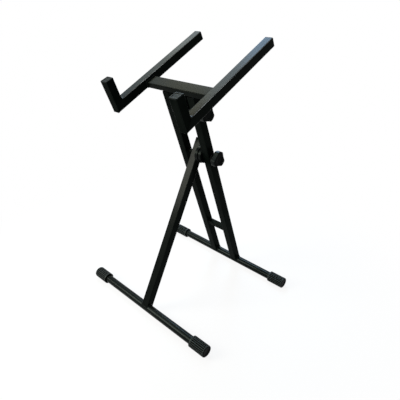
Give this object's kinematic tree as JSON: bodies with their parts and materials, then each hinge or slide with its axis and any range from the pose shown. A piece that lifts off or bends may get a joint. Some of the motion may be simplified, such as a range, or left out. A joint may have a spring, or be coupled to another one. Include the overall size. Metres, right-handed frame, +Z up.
{
  "type": "mixer stand",
  "caption": "Folding A-frame mixer stand of black steel tube, with a tilting platform of arms and upturned lips, round base bars with ribbed caps, and clamp knobs at its pivots.",
  "frame": {"origin": "on the floor, midway between the two base bars and midway along them", "axes": "+Z up, +X along the base bars towards the side with the knobs, +Y from the front leg's bar to the uprights' bar, so that the platform's lips are at the -Y side"},
  "size_m": [0.6, 0.4996, 0.923],
  "materials": {
    "black_coat": "satin black powder coat",
    "black_rubber": "matt moulded rubber",
    "black_plastic": "fine-grained moulded nylon",
    "plated_steel": "zinc plated",
    "brass": "turned"
  },
  "bodies": {
    "rear_frame": {"rear_base_bar": "black_coat", "rear_left_cap": "black_rubber", "rear_right_cap": "black_rubber", "left_upright": "black_coat", "right_upright": "black_coat", "left_upright_plug": "black_plastic", "right_upright_plug": "black_plastic", "lower_rung": "black_coat", "upright_disc": "black_plastic", "left_spacer": "black_coat", "left_tilt_disc": "black_plastic", "right_tilt_disc": "black_plastic", "pivot_bolt": "plated_steel", "pivot_head_washer": "plated_steel", "pivot_knob_washer": "plated_steel", "tilt_bolt": "plated_steel", "tilt_head_washer": "plated_steel", "tilt_knob_washer": "plated_steel"},
    "leg": {"front_leg": "black_coat", "front_leg_plug": "black_plastic", "pivot_sleeve": "plated_steel", "leg_disc": "black_plastic", "front_base_bar": "black_coat", "front_left_cap": "black_rubber", "front_right_cap": "black_rubber"},
    "platform": {"left_arm": "black_coat", "right_arm": "black_coat", "left_arm_plug": "black_plastic", "right_arm_plug": "black_plastic", "left_lip": "black_coat", "right_lip": "black_coat", "left_lip_plug": "black_plastic", "right_lip_plug": "black_plastic", "left_tilt_ear": "black_coat", "right_tilt_ear": "black_coat", "crossbar": "black_coat", "tilt_sleeve": "plated_steel"},
    "pivot_knob": {"pivot_knob": "black_plastic", "pivot_knob_insert": "brass"},
    "tilt_knob": {"tilt_knob": "black_plastic", "tilt_knob_insert": "brass"}
  },
  "joints": [
    {"name": "leg_fold", "type": "hinge", "parent": "leg", "child": "rear_frame", "pos_m": [0, 0.04679, 0.55061], "axis": [-1, 0, 0], "range_deg": [0, 42]},
    {"name": "platform_tilt", "type": "hinge", "parent": "rear_frame", "child": "platform", "pos_m": [0, -0.0104, 0.71706], "axis": [1, 0, 0], "range_deg": [-25.6, 34.4]},
    {"name": "pivot_knob_turn", "type": "hinge", "parent": "rear_frame", "child": "pivot_knob", "pos_m": [0, 0.04679, 0.55061], "axis": [1, 0, 0], "continuous": true},
    {"name": "tilt_knob_turn", "type": "hinge", "parent": "rear_frame", "child": "tilt_knob", "pos_m": [0, -0.0104, 0.71706], "axis": [1, 0, 0], "continuous": true}
  ]
}
